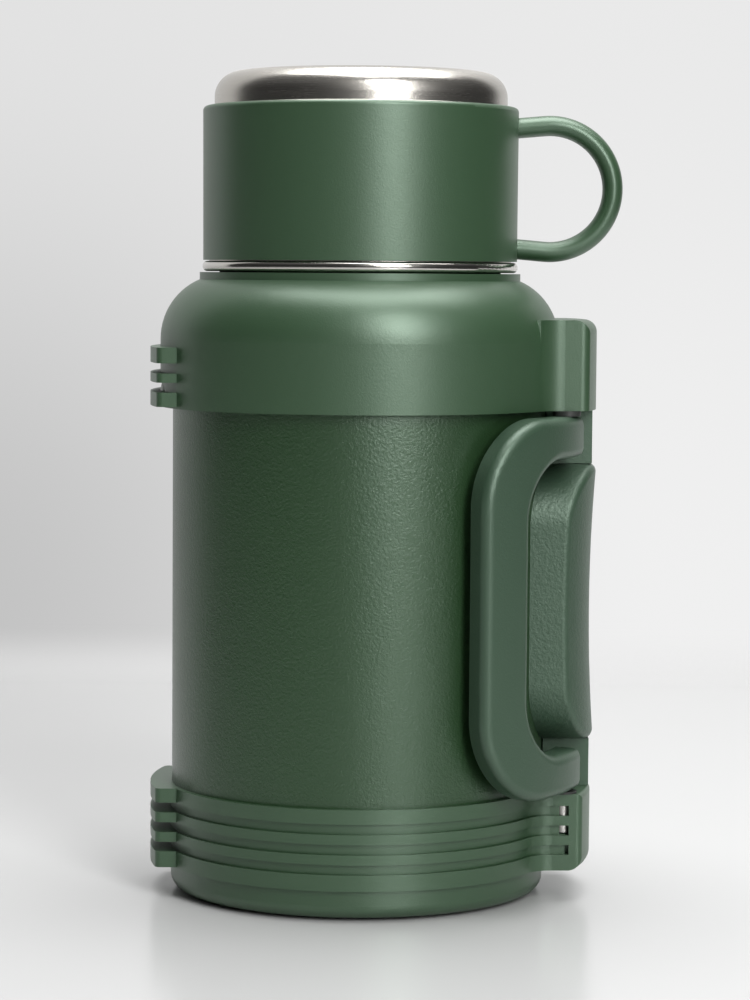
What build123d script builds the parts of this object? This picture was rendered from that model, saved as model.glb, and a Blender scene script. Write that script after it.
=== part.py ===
"""Insulated vacuum flask with a drinking cup on top and a folding two-wing carrying handle.

Millimetres, +Z up.  The origin is the centre of the face the flask stands on.
The handle, its lugs and the cup's finger ring are on the +X side; the front is -Y.
"""

import os
from math import asin, cos, degrees, radians, sin

from build123d import *

os.makedirs("parts", exist_ok=True)

# ---------------------------------------------------------------- driving dimensions
BODY_R = 60.0            # outside of the steel body
SHELL_WALL = 0.8
SHELL_BOTTOM_Z = 10.0
SHELL_BOTTOM_R = 10.0    # rounded lower corner of the steel body
SHOULDER_Z = 164.0       # where the steel body starts to close in
SHOULDER_R = 16.0
NECK_R = 40.0            # outside of the steel neck
MOUTH_Z = 207.0          # rim of the drinking mouth

LINER_R = 55.1           # outside of the inner vessel
LINER_WALL = 0.6
LINER_BOTTOM_Z = 16.0
LINER_NECK_R = 36.8
LINER_SHOULDER_Z = 158.0

COLLAR_R = 64.0          # plastic collar over the shoulder
COLLAR_BOTTOM_Z = 156.2
COLLAR_WALL = 2.6
DOME_R = 20.7
DOME_Z = 177.8           # where the collar's dome starts
DOME_CENTRE_R = COLLAR_R - DOME_R
RIM_R = 51.5
RIM_LOW_Z = 196.8
DECK_Z = 199.1           # top of the collar, under the cup's lip

CUP_LIP_R = 50.6
CUP_LIP_LOW_Z = 199.4
CUP_LIP_TOP_Z = 202.7
CUP_SLEEVE_LOW_Z = 203.0
CUP_SLEEVE_TOP_Z = 252.0
CUP_TOP_Z = 263.0
CUP_BASE_R = 46.9        # bare steel base of the cup
CUP_BORE_R = 47.1        # inside of the cup at its mouth
CUP_WALL = 0.5
RING_X = 60.7            # finger ring of the cup
RING_Z = 226.4
RING_R = 20.15           # radius of the ring's centre line
RING_THICK = 6.5         # in the ring's own plane
RING_WIDE = 9.4          # across it

LUG_R = 76.2             # outer face of the collar's handle lug, concentric with the body
LUG_TOP_Z = 184.8
LUG_HALF = 24.5
LUG_BLEND = 9.0          # hollow curve between lug and band
LUG_ROOT_HALF = 29.4     # where the collar's hollow curves run out into its band
LUG_EDGE = 4.0           # rounded outer edge at the lug's far end
BASE_LUG_R = 75.6
BASE_LUG_TOP_Z = 34.5

BOOT_R = 61.9            # outside of the base boot's ribs
BOOT_GROOVE = 1.3
FOOT_R = 60.3
BOOT_TOP_Z = 35.2
BOOT_RIBS = [(9.9, 15.0), (18.1, 21.2), (24.4, 27.5), (30.7, 35.2)]
FOOT_EDGE = 4.2
FOOT_GAP = 0.8           # the rubber foot stands this far below the boot
FOOT_PAD_R = 54.0
FOOT_PAD_THICK = 1.55

WING_OUT_R = 73.7        # folded wings are concentric with the body
WING_THICK = 9.0
WING_LOW_Z = 35.3
WING_TOP_Z = 154.5
WING_TIP_DEG = 58.1
WING_ARM = 13.1
GRIP_IN_DEG = 43.2
WING_END_DEG = 13.6      # the arms end just past the hinge
WING_CORNER = 27.0
OPENING_CORNER = 19.0
HINGE_R = WING_OUT_R - WING_THICK / 2
HINGE_DEG = 18.15
HINGE_X = HINGE_R * cos(radians(HINGE_DEG))
HINGE_Y = HINGE_R * sin(radians(HINGE_DEG))
PIN_R = 2.0
RUNNING = 0.05           # radial clearance of everything that turns or slides

PAD_LOW_Z = 50.0
PAD_TOP_Z = 138.5
PAD_HALF = 25.5
PAD_CORNER = 19.0
PAD_CROWN_R = 41.3       # the pad's outer face is crowned across
PAD_CROWN_X = 74.8       # and stands this far out at its waist
PAD_WAIST_Z = 92.9
PAD_WAIST_R = 572.0      # hollow curve of the waist, seen from the side
SPINE_HALF = 7.0
SPINE_X = 74.8
TONGUE_HALF = 5.0
TONGUE_X = (66.0, 70.0)
LUG_SCREW_Z = (171.0, 22.0)
PAD_SCREW_Z = (75.0, 115.0)

PLUG_R = 35.4            # the part of the stopper inside the neck
STOPPER_LOW_Z = 178.5
FLANGE_Z = 208.25
KNOB_TOP_Z = 221.5
BUTTON_TOP_Z = 225.0
BUTTON_R = 15.0
WELL_Z = 214.0           # floor of the button's well
BUTTON_TRAVEL = 4.0
STEM_R = 3.0
SEAL_LOW_Z = 202.0       # silicone ring that grips the cup
SEAL_TOP_Z = 204.6
SEAL_GROOVE_R = 43.9


def finish(part, name, color):
    """Label one finished piece and write it to its own file."""
    part.label = name
    part.color = color
    export_step(part, f"parts/{name}.step")


GREEN = Color(0.13, 0.25, 0.17)
DARK = Color(0.08, 0.09, 0.08)
STEEL = Color(0.72, 0.72, 0.70)
COPPER = Color(0.72, 0.45, 0.20)
RUBBER = Color(0.10, 0.12, 0.10)
WHITE = Color(0.85, 0.86, 0.82)


def screw_along_x(head_x, z, head_r, shank_r, tip_x):
    """Countersunk cross-head screw whose head faces +X."""
    sink = head_r - shank_r
    with BuildPart() as screw:
        with BuildSketch(Plane.XZ):
            with BuildLine():
                Polyline(
                    (head_x, z),
                    (head_x, z + head_r),
                    (head_x - 0.4, z + head_r),
                    (head_x - 0.4 - sink, z + shank_r),
                    (tip_x + 1.0, z + shank_r),
                    (tip_x, z),
                    close=True,
                )
            make_face()
        revolve(axis=Axis((0, 0, z), (1, 0, 0)))
        with BuildSketch(Plane.YZ.offset(head_x - 1.2)):
            with Locations((0, z)):
                Rectangle(head_r * 1.2, 0.9)
                Rectangle(0.9, head_r * 1.2)
        extrude(amount=1.3, mode=Mode.SUBTRACT)
    return screw.part


# ---------------------------------------------------------------- steel vacuum vessel
with BuildPart() as outer_shell:
    with BuildSketch(Plane.XZ):
        with BuildLine():
            CenterArc((BODY_R - SHELL_BOTTOM_R, SHELL_BOTTOM_Z + SHELL_BOTTOM_R), SHELL_BOTTOM_R, 270, 90)
            Line((BODY_R, SHELL_BOTTOM_Z + SHELL_BOTTOM_R), (BODY_R, SHOULDER_Z))
            CenterArc((BODY_R - SHOULDER_R, SHOULDER_Z), SHOULDER_R, 0, 90)
            Line((BODY_R - SHOULDER_R, SHOULDER_Z + SHOULDER_R), (NECK_R + 2, SHOULDER_Z + SHOULDER_R))
            CenterArc((NECK_R + 2, SHOULDER_Z + SHOULDER_R + 2), 2, 270, -90)
            Line((NECK_R, SHOULDER_Z + SHOULDER_R + 2), (NECK_R, MOUTH_Z - LINER_WALL))
            offset(amount=SHELL_WALL, side=Side.LEFT)
        make_face()
    revolve(axis=Axis.Z)

with BuildPart() as shell_base:
    with BuildSketch(Plane.XZ):
        with BuildLine():
            Polyline(
                (3.0, SHELL_BOTTOM_Z + 2.5),
                (38.0, SHELL_BOTTOM_Z + 2.5),
                (44.0, SHELL_BOTTOM_Z),
                (BODY_R - SHELL_BOTTOM_R, SHELL_BOTTOM_Z),
            )
            offset(amount=LINER_WALL, side=Side.LEFT, kind=Kind.INTERSECTION)
        make_face()
    revolve(axis=Axis.Z)

# The vessel is sealed with a brazed plug after the air has been drawn out.
with BuildPart() as vacuum_plug:
    with Locations((0, 0, SHELL_BOTTOM_Z + 1.7)):
        Cylinder(5.5, 0.8, align=(Align.CENTER, Align.CENTER, Align.MIN))
    with Locations((0, 0, SHELL_BOTTOM_Z + 2.5)):
        Cylinder(3.0, LINER_WALL, align=(Align.CENTER, Align.CENTER, Align.MIN))

LINER_CORNER = 10.0
LINER_SHOULDER_R = 14.0
LINER_SHOULDER_TOP = LINER_SHOULDER_Z + LINER_SHOULDER_R
with BuildPart() as inner_liner:
    with BuildSketch(Plane.XZ):
        with BuildLine():
            Line((0, LINER_BOTTOM_Z), (LINER_R - LINER_CORNER, LINER_BOTTOM_Z))
            CenterArc((LINER_R - LINER_CORNER, LINER_BOTTOM_Z + LINER_CORNER), LINER_CORNER, 270, 90)
            Line((LINER_R, LINER_BOTTOM_Z + LINER_CORNER), (LINER_R, LINER_SHOULDER_Z))
            CenterArc((LINER_R - LINER_SHOULDER_R, LINER_SHOULDER_Z), LINER_SHOULDER_R, 0, 90)
            Line((LINER_R - LINER_SHOULDER_R, LINER_SHOULDER_TOP), (LINER_NECK_R + 2.2, LINER_SHOULDER_TOP))
            CenterArc((LINER_NECK_R + 2.2, LINER_SHOULDER_TOP + 2.2), 2.2, 270, -90)
            Line((LINER_NECK_R, LINER_SHOULDER_TOP + 2.2), (LINER_NECK_R, MOUTH_Z - LINER_WALL))
            Line((LINER_NECK_R, MOUTH_Z - LINER_WALL), (NECK_R, MOUTH_Z - LINER_WALL))
            offset(amount=LINER_WALL, side=Side.LEFT, kind=Kind.INTERSECTION)
        make_face()
    revolve(axis=Axis.Z)

FOIL_LOW_Z = LINER_BOTTOM_Z + LINER_CORNER + 1
with BuildPart() as heat_shield:
    with BuildSketch(Plane.XY.offset(FOIL_LOW_Z)):
        Circle(LINER_R + 0.5)
        Circle(LINER_R + 0.2, mode=Mode.SUBTRACT)
    extrude(amount=LINER_SHOULDER_Z - 1 - FOIL_LOW_Z)

with BuildPart() as getter:
    with Locations((22, 0, LINER_BOTTOM_Z - 2.0)):
        Cylinder(7.0, 2.0, align=(Align.CENTER, Align.CENTER, Align.MIN))
    chamfer(getter.edges().sort_by(Axis.Z)[0], 0.6)


# ---------------------------------------------------------------- collar and neck
def lug_plan(round_r, lug_r, half, corner):
    """Round outline with one straight-sided lug on +X, blended in with a hollow curve."""
    with BuildSketch(Plane.XY) as plan:
        Circle(lug_r)
        with Locations((lug_r / 2, 0)):
            Rectangle(lug_r, 2 * half, mode=Mode.INTERSECT)
        Circle(round_r)
        fillet(plan.vertices().sort_by(Axis.X)[:2], LUG_BLEND)
        fillet(plan.vertices().sort_by(Axis.X)[-2:], corner)
    return plan.sketch


def strap_plan(reach, half, crown_r):
    """Outline of a strap lug on -X: straight sides and a slightly crowned outer face."""
    with BuildSketch(Plane.XY) as plan:
        with Locations((crown_r - reach, 0)):
            Circle(crown_r)
        with Locations((-reach / 2, 0)):
            Rectangle(reach + 2, 2 * half, mode=Mode.INTERSECT)
        fillet(plan.vertices().group_by(Axis.X)[0], STRAP_CORNER)
    return plan.sketch


STRAP_CORNER = 2.0
STRAP_LUG_REACH = 67.1   # the three fins on the collar's far side
STRAP_LUG_HALF = 29.0
STRAP_LUG_CROWN_R = 110.0
STRAP_FINS = [(156.8, 161.3), (164.4, 167.3), (170.5, 175.4)]
DOME_IN_DEG = 55.0
DOME_OUT_DEG = 66.7
DECK_THICK = 2.7
with BuildPart() as collar:
    # handle lug first, so that its inside is cut away with the collar's own inside
    with BuildSketch(Plane.XY.offset(COLLAR_BOTTOM_Z)):
        add(lug_plan(COLLAR_R, LUG_R, LUG_HALF, 3.0))
        with Locations((COLLAR_R, 0)):
            Rectangle(60.0, 2 * LUG_ROOT_HALF, mode=Mode.INTERSECT)
    extrude(amount=LUG_TOP_Z - COLLAR_BOTTOM_Z)
    with BuildSketch(Plane.XZ):
        with BuildLine():
            Polyline((0, LUG_TOP_Z), (0, COLLAR_BOTTOM_Z), (LUG_R, COLLAR_BOTTOM_Z))
            Line((LUG_R, COLLAR_BOTTOM_Z), (LUG_R, LUG_TOP_Z - LUG_EDGE))
            CenterArc((LUG_R - LUG_EDGE, LUG_TOP_Z - LUG_EDGE), LUG_EDGE, 0, 90)
            Line((LUG_R - LUG_EDGE, LUG_TOP_Z), (0, LUG_TOP_Z))
        make_face()
        with BuildLine():
            Polyline(
                (0, COLLAR_BOTTOM_Z - 2),
                (COLLAR_R - 1, COLLAR_BOTTOM_Z - 2),
                (COLLAR_R - 1, DOME_Z),
                (RIM_R, RIM_LOW_Z - 8),
                (0, RIM_LOW_Z - 8),
                close=True,
            )
        make_face(mode=Mode.SUBTRACT)
    revolve(axis=Axis.Z, mode=Mode.INTERSECT)
    # the collar itself
    with BuildSketch(Plane.XZ):
        with BuildLine():
            Line((BODY_R + RUNNING, COLLAR_BOTTOM_Z), (COLLAR_R, COLLAR_BOTTOM_Z))
            Line((COLLAR_R, COLLAR_BOTTOM_Z), (COLLAR_R, DOME_Z))
            outer_arc = CenterArc((DOME_CENTRE_R, DOME_Z), DOME_R, 0, DOME_OUT_DEG)
            Polyline(outer_arc @ 1, (RIM_R, RIM_LOW_Z + 0.2), (RIM_R, DECK_Z), (NECK_R + RUNNING, DECK_Z))
            inner_arc = CenterArc((DOME_CENTRE_R, DOME_Z), DOME_R - COLLAR_WALL, 0, DOME_IN_DEG)
            Polyline(
                (NECK_R + RUNNING, DECK_Z),
                (NECK_R + RUNNING, DECK_Z - DECK_THICK),
                (48.0, DECK_Z - DECK_THICK),
                inner_arc @ 1,
            )
            Polyline(
                inner_arc @ 0,
                (COLLAR_R - COLLAR_WALL, 161.0),
                (BODY_R + RUNNING, 160.0),
                (BODY_R + RUNNING, COLLAR_BOTTOM_Z),
            )
        make_face()
    revolve(axis=Axis.Z)
    # fins for a carrying strap on the far side
    for low, high in STRAP_FINS:
        with BuildSketch(Plane.XY.offset(low)):
            add(strap_plan(STRAP_LUG_REACH, STRAP_LUG_HALF, STRAP_LUG_CROWN_R))
            Circle(COLLAR_R - 1, mode=Mode.SUBTRACT)
        extrude(amount=high - low)
    # slot for the spine's tongue, blind holes for the hinge pins and the screw
    with BuildSketch(Plane.XY.offset(COLLAR_BOTTOM_Z)):
        with Locations(((TONGUE_X[0] + TONGUE_X[1]) / 2, 0)):
            Rectangle(TONGUE_X[1] - TONGUE_X[0] + 0.1, 2 * TONGUE_HALF + 0.1)
    extrude(amount=21.0, mode=Mode.SUBTRACT)
    with BuildSketch(Plane.XY.offset(COLLAR_BOTTOM_Z)):
        with Locations((HINGE_X, HINGE_Y), (HINGE_X, -HINGE_Y)):
            Circle(PIN_R)
    extrude(amount=13.0, mode=Mode.SUBTRACT)
    screw_hole = Plane(origin=(LUG_R, 0, LUG_SCREW_Z[0]), z_dir=(-1, 0, 0))
    with BuildSketch(screw_hole):
        Circle(3.7)
    extrude(amount=2.6, mode=Mode.SUBTRACT)
    with BuildSketch(screw_hole):
        Circle(1.8)
    extrude(amount=12.6, mode=Mode.SUBTRACT)

with BuildPart() as collar_gasket:
    with BuildSketch(Plane.XY.offset(DECK_Z)):
        Circle(45.2)
        Circle(NECK_R + RUNNING, mode=Mode.SUBTRACT)
    extrude(amount=0.8)

with BuildPart() as neck_sleeve:
    with BuildSketch(Plane.XZ):
        with BuildLine():
            Polyline(
                (NECK_R + RUNNING, DECK_Z + 0.8),
                (45.5, DECK_Z + 0.8),
                (45.5, SEAL_LOW_Z),
                (SEAL_GROOVE_R, SEAL_LOW_Z),
                (SEAL_GROOVE_R, SEAL_TOP_Z),
                (45.5, SEAL_TOP_Z),
                (44.6, MOUTH_Z - 0.8),
                (NECK_R + RUNNING, MOUTH_Z - 0.8),
                close=True,
            )
        make_face()
    revolve(axis=Axis.Z)

# ---------------------------------------------------------------- base boot
STRAP_BASE_REACH = 66.9
STRAP_BASE_HALF = 23.5
STRAP_BASE_CROWN_R = 90.0
GROOVE_END_X = 67.6      # the lug's grooves stop short of its outer bar
POCKET = 1.2             # narrow slot that ends each groove
BASE_LUG_TOP_EDGE = 1.5
with BuildPart() as base_boot:
    # grooved core, then the ribs standing on it and the bar that ends them on the lug
    boot_low_z = BOOT_RIBS[0][0]
    rib_plan = lug_plan(BOOT_R, BASE_LUG_R, LUG_HALF, 2.2)
    with BuildSketch(Plane.XY.offset(boot_low_z)):
        add(lug_plan(BOOT_R - BOOT_GROOVE, BASE_LUG_R, LUG_HALF - BOOT_GROOVE, 2.2))
    extrude(amount=BASE_LUG_TOP_Z - boot_low_z)
    for low, high in BOOT_RIBS:
        with BuildSketch(Plane.XY.offset(low)):
            add(rib_plan)
        extrude(amount=min(high, BASE_LUG_TOP_Z) - low)
    with BuildSketch(Plane.XY.offset(boot_low_z)):
        add(rib_plan)
        with Locations((GROOVE_END_X + 20, 0)):
            Rectangle(40, 4 * LUG_HALF, mode=Mode.INTERSECT)
    extrude(amount=BASE_LUG_TOP_Z - boot_low_z)
    # the lug's outer face is turned about the flask's axis, with rounded edges
    with BuildSketch(Plane.XZ):
        with BuildLine():
            Polyline((0, BASE_LUG_TOP_Z), (0, boot_low_z), (BASE_LUG_R - LUG_EDGE, boot_low_z))
            CenterArc((BASE_LUG_R - LUG_EDGE, boot_low_z + LUG_EDGE), LUG_EDGE, 270, 90)
            Line((BASE_LUG_R, boot_low_z + LUG_EDGE), (BASE_LUG_R, BASE_LUG_TOP_Z - BASE_LUG_TOP_EDGE))
            CenterArc(
                (BASE_LUG_R - BASE_LUG_TOP_EDGE, BASE_LUG_TOP_Z - BASE_LUG_TOP_EDGE), BASE_LUG_TOP_EDGE, 0, 90
            )
            Line((BASE_LUG_R - BASE_LUG_TOP_EDGE, BASE_LUG_TOP_Z), (0, BASE_LUG_TOP_Z))
        make_face()
    revolve(axis=Axis.Z, mode=Mode.INTERSECT)
    # narrow slots that end the three grooves on either side of the lug
    for side in (-1, 1):
        for (_, low), (high, _) in zip(BOOT_RIBS[:-1], BOOT_RIBS[1:]):
            with Locations((GROOVE_END_X - POCKET / 2, side * LUG_HALF, (low + high) / 2)):
                Box(POCKET, 7.0, high - low, mode=Mode.SUBTRACT)
    # strap lug on the far side
    for low, high in BOOT_RIBS:
        with BuildSketch(Plane.XY.offset(low)):
            add(strap_plan(STRAP_BASE_REACH, STRAP_BASE_HALF, STRAP_BASE_CROWN_R))
        extrude(amount=high - low)
    # top ring of the band
    with BuildSketch(Plane.XY.offset(BASE_LUG_TOP_Z)):
        Circle(BOOT_R)
    extrude(amount=BOOT_TOP_Z - BASE_LUG_TOP_Z)
    # foot with its rounded lower edge
    with BuildSketch(Plane.XZ):
        with BuildLine():
            Polyline((0, boot_low_z), (0, FOOT_GAP), (FOOT_R - FOOT_EDGE, FOOT_GAP))
            CenterArc((FOOT_R - FOOT_EDGE, FOOT_GAP + FOOT_EDGE), FOOT_EDGE, 270, 90)
            Polyline((FOOT_R, FOOT_GAP + FOOT_EDGE), (FOOT_R, boot_low_z), (0, boot_low_z))
        make_face()
    revolve(axis=Axis.Z)
    # room for the steel body, hollow underside, recess for the rubber foot
    corner_r = SHELL_BOTTOM_R + RUNNING
    corner_x = BODY_R - SHELL_BOTTOM_R
    corner_z = SHELL_BOTTOM_Z + SHELL_BOTTOM_R
    with BuildSketch(Plane.XZ):
        with BuildLine():
            Line((0, corner_z - corner_r), (corner_x, corner_z - corner_r))
            CenterArc((corner_x, corner_z), corner_r, 270, 90)
            Polyline(
                (corner_x + corner_r, corner_z),
                (corner_x + corner_r, BOOT_TOP_Z + 5),
                (0, BOOT_TOP_Z + 5),
                (0, corner_z - corner_r),
            )
        make_face()
        with Locations((21.5, 4.1)):
            Rectangle(43.0, 6.8)
        with Locations(((FOOT_PAD_R + 0.1) / 2, FOOT_GAP)):
            Rectangle(FOOT_PAD_R + 0.1, 2 * (FOOT_PAD_THICK + RUNNING - FOOT_GAP))
    revolve(axis=Axis.Z, mode=Mode.SUBTRACT)
    # slot for the spine's tongue, blind holes for the hinge pins and the screw
    with BuildSketch(Plane.XY.offset(BASE_LUG_TOP_Z)):
        with Locations(((TONGUE_X[0] + TONGUE_X[1]) / 2, 0)):
            Rectangle(TONGUE_X[1] - TONGUE_X[0] + 0.1, 2 * TONGUE_HALF + 0.1)
    extrude(amount=-19.5, mode=Mode.SUBTRACT)
    with BuildSketch(Plane.XY.offset(BASE_LUG_TOP_Z)):
        with Locations((HINGE_X, HINGE_Y), (HINGE_X, -HINGE_Y)):
            Circle(PIN_R)
    extrude(amount=-13.0, mode=Mode.SUBTRACT)
    screw_hole = Plane(origin=(BASE_LUG_R, 0, LUG_SCREW_Z[1]), z_dir=(-1, 0, 0))
    with BuildSketch(screw_hole):
        Circle(3.7)
    extrude(amount=2.6, mode=Mode.SUBTRACT)
    with BuildSketch(screw_hole):
        Circle(1.8)
    extrude(amount=12.6, mode=Mode.SUBTRACT)

with BuildPart() as foot_pad:
    Cylinder(FOOT_PAD_R, FOOT_PAD_THICK, align=(Align.CENTER, Align.CENTER, Align.MIN))
    chamfer(foot_pad.edges().group_by(Axis.Z)[0], 0.4)

# ---------------------------------------------------------------- spine, pad and their screws
SPINE_LOW_Z = BASE_LUG_TOP_Z + RUNNING
SPINE_TOP_Z = COLLAR_BOTTOM_Z - RUNNING
SPINE_THIN_X = 64.0
TONGUE_REACH = 19.0      # how far each end of the tongue goes into its lug
with BuildPart() as spine:
    with BuildSketch(Plane.XY.offset(SPINE_LOW_Z)):
        with Locations(((BODY_R + SPINE_X) / 2, 0)):
            Rectangle(SPINE_X - BODY_R, 2 * SPINE_HALF)
    extrude(amount=SPINE_TOP_Z - SPINE_LOW_Z)
    with Locations(((TONGUE_X[0] + TONGUE_X[1]) / 2, 0, SPINE_LOW_Z - TONGUE_REACH)):
        Box(
            TONGUE_X[1] - TONGUE_X[0],
            2 * TONGUE_HALF,
            SPINE_TOP_Z - SPINE_LOW_Z + 2 * TONGUE_REACH,
            align=(Align.CENTER, Align.CENTER, Align.MIN),
        )
    with Locations((SPINE_THIN_X, 0, PAD_LOW_Z - 0.2)):
        Box(
            20.0,
            2 * SPINE_HALF,
            PAD_TOP_Z - PAD_LOW_Z + 0.4,
            align=(Align.MIN, Align.CENTER, Align.MIN),
            mode=Mode.SUBTRACT,
        )
    Cylinder(BODY_R + RUNNING, 400, mode=Mode.SUBTRACT)
    Cylinder(BOOT_R + RUNNING, 2 * (BOOT_TOP_Z + RUNNING), mode=Mode.SUBTRACT)
    for z in LUG_SCREW_Z:
        with Locations(Plane(origin=(LUG_R, 0, z), z_dir=(1, 0, 0))):
            Cylinder(1.75, 40, mode=Mode.SUBTRACT)
    for z in PAD_SCREW_Z:
        with Locations(Plane(origin=(SPINE_THIN_X, 0, z), z_dir=(1, 0, 0))):
            Cylinder(1.5, 20, mode=Mode.SUBTRACT)

PAD_BACK_X = 40.0
PAD_FAR_HALF = 30.0      # wider than the pad, so that its sides stay flat
PAD_SWEEP_DEG = 6.0      # of the waist's curve, either way from its middle
PAD_EDGE = 2.5           # soft crease around the outer face
waist_x = PAD_CROWN_X + PAD_WAIST_R
crown_plane = Plane(
    origin=(waist_x, 0, PAD_WAIST_Z),
    x_dir=(cos(radians(PAD_SWEEP_DEG)), 0, sin(radians(PAD_SWEEP_DEG))),
    z_dir=(-sin(radians(PAD_SWEEP_DEG)), 0, cos(radians(PAD_SWEEP_DEG))),
)
with BuildPart() as grip_pad:
    with BuildSketch(Plane.YZ.offset(48.0)):
        with Locations((0, (PAD_LOW_Z + PAD_TOP_Z) / 2)):
            RectangleRounded(2 * PAD_HALF, PAD_TOP_Z - PAD_LOW_Z, PAD_CORNER)
    extrude(amount=32.0)
    # the outer face is crowned across, and waisted where the fingers pass
    with BuildSketch(crown_plane):
        with BuildLine():
            half_deg = degrees(asin(PAD_FAR_HALF / PAD_CROWN_R))
            crown = CenterArc((PAD_CROWN_X - PAD_CROWN_R - waist_x, 0), PAD_CROWN_R, -half_deg, 2 * half_deg)
            back = PAD_BACK_X - waist_x
            Polyline(crown @ 1, (back, PAD_FAR_HALF), (back, -PAD_FAR_HALF), crown @ 0)
        make_face()
    revolve(
        axis=Axis((waist_x, 0, PAD_WAIST_Z), (0, 1, 0)), revolution_arc=2 * PAD_SWEEP_DEG, mode=Mode.INTERSECT
    )
    fillet(grip_pad.faces().sort_by(Axis.X)[-1].edges(), PAD_EDGE)
    Cylinder(BODY_R + RUNNING, 400, mode=Mode.SUBTRACT)
    with Locations((BODY_R - 5, 0, PAD_LOW_Z - 1)):
        Box(
            SPINE_THIN_X + RUNNING - BODY_R + 5,
            2 * SPINE_HALF + 0.1,
            PAD_TOP_Z - PAD_LOW_Z + 2,
            align=(Align.MIN, Align.CENTER, Align.MIN),
            mode=Mode.SUBTRACT,
        )
    for z in PAD_SCREW_Z:
        with Locations(Plane(origin=(68.0, 0, z), z_dir=(1, 0, 0))):
            Cylinder(4.2, 20, align=(Align.CENTER, Align.CENTER, Align.MIN), mode=Mode.SUBTRACT)
            Cylinder(1.6, 20, mode=Mode.SUBTRACT)

with BuildPart() as pad_screws:
    for z in PAD_SCREW_Z:
        with Locations(Plane(origin=(68.0, 0, z), z_dir=(1, 0, 0))):
            Cylinder(3.4, 2.0, align=(Align.CENTER, Align.CENTER, Align.MIN))
        with Locations(Plane(origin=(BODY_R + 0.8, 0, z), z_dir=(1, 0, 0))):
            Cylinder(1.5, 68.0 - BODY_R - 0.8, align=(Align.CENTER, Align.CENTER, Align.MIN))

with BuildPart() as pad_plugs:
    for z, face_x in zip(PAD_SCREW_Z, (74.8, 74.95)):
        with Locations(Plane(origin=(70.2, 0, z), z_dir=(1, 0, 0))):
            Cylinder(4.15, face_x - 70.2, align=(Align.CENTER, Align.CENTER, Align.MIN))

with BuildPart() as lug_screws:
    add(screw_along_x(LUG_R - 0.3, LUG_SCREW_Z[0], 3.6, 1.7, LUG_R - 12.4))
    add(screw_along_x(BASE_LUG_R - 0.3, LUG_SCREW_Z[1], 3.6, 1.7, BASE_LUG_R - 12.4))

# ---------------------------------------------------------------- hinge pins, washers and wings
PIN_IN_WING = 11.0
PIN_IN_LUG = 12.5
with BuildPart() as hinge_pins:
    for y in (-HINGE_Y, HINGE_Y):
        with Locations((HINGE_X, y, WING_TOP_Z - PIN_IN_WING)):
            Cylinder(
                PIN_R,
                PIN_IN_WING + COLLAR_BOTTOM_Z - WING_TOP_Z + PIN_IN_LUG,
                align=(Align.CENTER, Align.CENTER, Align.MIN),
            )
        with Locations((HINGE_X, y, BASE_LUG_TOP_Z - PIN_IN_LUG)):
            Cylinder(
                PIN_R,
                PIN_IN_LUG + WING_LOW_Z - BASE_LUG_TOP_Z + PIN_IN_WING,
                align=(Align.CENTER, Align.CENTER, Align.MIN),
            )

with BuildPart() as hinge_washers:
    for low, high in ((WING_TOP_Z, COLLAR_BOTTOM_Z), (BASE_LUG_TOP_Z, WING_LOW_Z)):
        with BuildSketch(Plane.XY.offset(low + RUNNING)):
            with Locations((HINGE_X, -HINGE_Y), (HINGE_X, HINGE_Y)):
                Circle(4.4)
                Circle(PIN_R + RUNNING, mode=Mode.SUBTRACT)
        extrude(amount=high - low - 2 * RUNNING)

# The front wing's outline is drawn on a plane that faces the middle of the plate.
OUTLINE_DEG = 42.0


def across(deg):
    """Distance across the outline plane of the point at this angle on the wing's outer face."""
    return WING_OUT_R * sin(radians(OUTLINE_DEG - deg))


outline_plane = Plane(
    origin=(0, 0, 0),
    x_dir=(sin(radians(OUTLINE_DEG)), cos(radians(OUTLINE_DEG)), 0),
    z_dir=(cos(radians(OUTLINE_DEG)), -sin(radians(OUTLINE_DEG)), 0),
)
WING_MID_Z = (WING_LOW_Z + WING_TOP_Z) / 2
WING_HALF_Z = (WING_TOP_Z - WING_LOW_Z) / 2
OPEN_HALF_Z = WING_HALF_Z - WING_ARM
FAR = 60.0               # past the hinge end, where the arms run on
with BuildPart() as wing_front:
    with BuildSketch(Plane.XY.offset(WING_LOW_Z)) as wing_section:
        with BuildLine():
            sweep_deg = WING_TIP_DEG - WING_END_DEG
            out_arc = CenterArc((0, 0), WING_OUT_R, -WING_TIP_DEG, sweep_deg)
            in_arc = CenterArc((0, 0), WING_OUT_R - WING_THICK, -WING_TIP_DEG, sweep_deg)
            Line(out_arc @ 0, in_arc @ 0)
            Line(out_arc @ 1, in_arc @ 1)
        make_face()
    extrude(amount=WING_TOP_Z - WING_LOW_Z)
    with BuildSketch(outline_plane):
        tip_u = across(WING_TIP_DEG)
        with Locations(((tip_u + FAR) / 2, WING_MID_Z)):
            RectangleRounded(FAR - tip_u, 2 * WING_HALF_Z, WING_CORNER)
        with Locations(((tip_u + WING_CORNER + FAR) / 2, WING_MID_Z)):
            Rectangle(FAR - tip_u - WING_CORNER, 2 * WING_HALF_Z)
        grip_u = across(GRIP_IN_DEG)
        with Locations(((grip_u + FAR) / 2, WING_MID_Z)):
            RectangleRounded(FAR - grip_u, 2 * OPEN_HALF_Z, OPENING_CORNER, mode=Mode.SUBTRACT)
        with Locations((FAR / 2 + 20, WING_MID_Z)):
            Rectangle(FAR, 2 * OPEN_HALF_Z, mode=Mode.SUBTRACT)
    extrude(amount=120.0, mode=Mode.INTERSECT)
    for z, depth in ((WING_TOP_Z, -PIN_IN_WING - 0.5), (WING_LOW_Z, PIN_IN_WING + 0.5)):
        with BuildSketch(Plane.XY.offset(z)):
            with Locations((HINGE_X, -HINGE_Y)):
                Circle(PIN_R + RUNNING)
        extrude(amount=depth, mode=Mode.SUBTRACT)

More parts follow.
